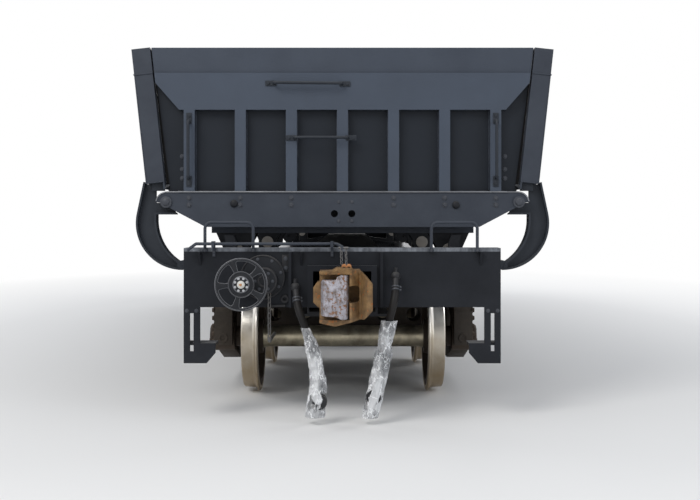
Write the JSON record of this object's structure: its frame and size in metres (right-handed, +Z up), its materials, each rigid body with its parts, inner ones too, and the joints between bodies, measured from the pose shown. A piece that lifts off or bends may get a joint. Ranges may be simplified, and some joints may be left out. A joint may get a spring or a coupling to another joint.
{
  "type": "side dump car",
  "caption": "Four-axle air-operated side dump car for standard gauge track, with a two-way tipping body, drop-down side doors on curved arms and swivelling bogies.",
  "frame": {"origin": "under the middle of the car, level with the tips of the wheel flanges, 27 mm below the top of the rails", "axes": "+X across the track, +Y along the track away from the hand brake end, +Z up"},
  "size_m": [3.0862, 13.06, 2.6718],
  "materials": {
    "car_paint": "satin dark slate paint with dust and chipped edges",
    "coupler_cast": "rough casting with a thin ochre rust",
    "wheel_steel": "machined tread going brown",
    "bearing_steel": "dark brown grease and dust",
    "bogie_cast": "black paint over a casting",
    "spring_steel": "black spring steel",
    "piston_steel": "ground and oiled",
    "pin_steel": "turned, greased",
    "hose_rubber": "matt black rubber",
    "air_fitting_cast": "dark casting",
    "chain_steel": "dull steel links"
  },
  "bodies": {
    "underframe": {"centre_sill": "car_paint", "end_beam_a": "car_paint", "end_beam_b": "car_paint", "corner_steps": "car_paint", "cross_bearers": "car_paint", "arm_cams": "car_paint", "coupler_a": "coupler_cast", "coupler_b": "coupler_cast", "knuckles": "coupler_cast", "cut_levers": "car_paint", "beam_grab_rails": "car_paint", "brake_handwheel": "car_paint", "brake_gear_case": "car_paint", "brake_chain": "chain_steel", "air_reservoirs": "car_paint", "brake_cylinder": "car_paint", "control_valve": "car_paint", "train_pipes": "car_paint", "angle_cocks": "air_fitting_cast", "hose_left": "hose_rubber", "hose_right": "hose_rubber", "gladhand_left": "air_fitting_cast", "gladhand_right": "air_fitting_cast"},
    "bogie_a": {"side_frames_a": "bogie_cast", "axle_boxes_a": "bearing_steel", "bogie_bolster_a": "bogie_cast", "springs_a": "spring_steel", "brake_beams_a": "bogie_cast"},
    "bogie_b": {"side_frames_b": "bogie_cast", "axle_boxes_b": "bearing_steel", "bogie_bolster_b": "bogie_cast", "springs_b": "spring_steel", "brake_beams_b": "bogie_cast"},
    "wheels_a_outer": {"wheelset_outer_a": "wheel_steel"},
    "wheels_a_inner": {"wheelset_inner_a": "wheel_steel"},
    "wheels_b_inner": {"wheelset_inner_b": "wheel_steel"},
    "wheels_b_outer": {"wheelset_outer_b": "wheel_steel"},
    "right_pins": {"right_trunnion_pins": "pin_steel"},
    "tipping_body": {"left_trunnion_pins": "pin_steel", "body_beams": "car_paint", "body_floor": "car_paint", "body_hinges": "car_paint", "end_crossbeam_a": "car_paint", "end_crossbeam_b": "car_paint", "end_wall_a": "car_paint", "end_wall_b": "car_paint", "end_grab_irons": "car_paint"},
    "left_door": {"door_left": "car_paint", "door_arms_left": "car_paint", "door_lugs_left": "car_paint"},
    "right_door": {"door_right": "car_paint", "door_arms_right": "car_paint", "door_lugs_right": "car_paint"},
    "left_barrels": {"barrels_left": "car_paint"},
    "left_sleeves": {"sleeves_left": "piston_steel"},
    "left_rods": {"rods_left": "piston_steel"},
    "right_barrels": {"barrels_right": "car_paint"},
    "right_sleeves": {"sleeves_right": "piston_steel"},
    "right_rods": {"rods_right": "piston_steel"}
  },
  "joints": [
    {"name": "bogie_a_swivel", "type": "hinge", "parent": "underframe", "child": "bogie_a", "pos_m": [0, -3.85, 0.709], "axis": [0, 0, 1], "range_deg": [-4, 4]},
    {"name": "bogie_b_swivel", "type": "hinge", "parent": "underframe", "child": "bogie_b", "pos_m": [0, 3.85, 0.709], "axis": [0, 0, 1], "range_deg": [-4, 4]},
    {"name": "wheels_a_outer_turn", "type": "hinge", "parent": "bogie_a", "child": "wheels_a_outer", "pos_m": [0, -4.725, 0.447], "axis": [1, 0, 0], "continuous": true},
    {"name": "wheels_a_inner_turn", "type": "hinge", "parent": "bogie_a", "child": "wheels_a_inner", "pos_m": [0, -2.975, 0.447], "axis": [1, 0, 0], "continuous": true},
    {"name": "wheels_b_outer_turn", "type": "hinge", "parent": "bogie_b", "child": "wheels_b_outer", "pos_m": [0, 4.725, 0.447], "axis": [1, 0, 0], "continuous": true},
    {"name": "wheels_b_inner_turn", "type": "hinge", "parent": "bogie_b", "child": "wheels_b_inner", "pos_m": [0, 2.975, 0.447], "axis": [1, 0, 0], "continuous": true},
    {"name": "tip_left", "type": "hinge", "parent": "underframe", "child": "right_pins", "pos_m": [-0.8, 0, 1.18], "axis": [0, 1, 0], "range_deg": [-45, 0]},
    {"name": "tip_right", "type": "hinge", "parent": "right_pins", "child": "tipping_body", "pos_m": [0.8, 0, 1.18], "axis": [0, 1, 0], "range_deg": [0, 45]},
    {"name": "left_door_turn", "type": "hinge", "parent": "tipping_body", "child": "left_door", "pos_m": [-1.287, 0, 1.542], "axis": [0, 1, 0], "range_deg": [-74.8, 0]},
    {"name": "right_door_turn", "type": "hinge", "parent": "tipping_body", "child": "right_door", "pos_m": [1.287, 0, 1.542], "axis": [0, 1, 0], "range_deg": [0, 74.8]},
    {"name": "left_barrels_swing", "type": "hinge", "parent": "underframe", "child": "left_barrels", "pos_m": [-0.78, 0, 0.95], "axis": [0, 1, 0], "range_deg": [0, 23.31]},
    {"name": "right_barrels_swing", "type": "hinge", "parent": "underframe", "child": "right_barrels", "pos_m": [0.78, 0, 0.95], "axis": [0, 1, 0], "range_deg": [-23.31, 0]},
    {"name": "left_sleeves_slide", "type": "slide", "parent": "left_barrels", "child": "left_sleeves", "axis": [-0.0866, 0, 0.9962], "range_m": [0, 0.6023]},
    {"name": "right_sleeves_slide", "type": "slide", "parent": "right_barrels", "child": "right_sleeves", "axis": [0.0866, 0, 0.9962], "range_m": [0, 0.6023]},
    {"name": "left_rods_slide", "type": "slide", "parent": "left_sleeves", "child": "left_rods", "axis": [-0.0866, 0, 0.9962], "range_m": [0, 0.6023]},
    {"name": "right_rods_slide", "type": "slide", "parent": "right_sleeves", "child": "right_rods", "axis": [0.0866, 0, 0.9962], "range_m": [0, 0.6023]}
  ],
  "couplings": [
    {"joint": "left_door_turn", "follows": "tip_left", "ratio": 1.66},
    {"joint": "right_door_turn", "follows": "tip_right", "ratio": 1.66},
    {"joint": "right_barrels_swing", "follows": "tip_left", "ratio": 0.51575},
    {"joint": "right_sleeves_slide", "follows": "tip_left", "m_per_rad": -0.76555},
    {"joint": "right_rods_slide", "follows": "tip_left", "m_per_rad": -0.76555},
    {"joint": "left_barrels_swing", "follows": "tip_right", "ratio": 0.51575},
    {"joint": "left_sleeves_slide", "follows": "tip_right", "m_per_rad": 0.76555},
    {"joint": "left_rods_slide", "follows": "tip_right", "m_per_rad": 0.76555}
  ]
}
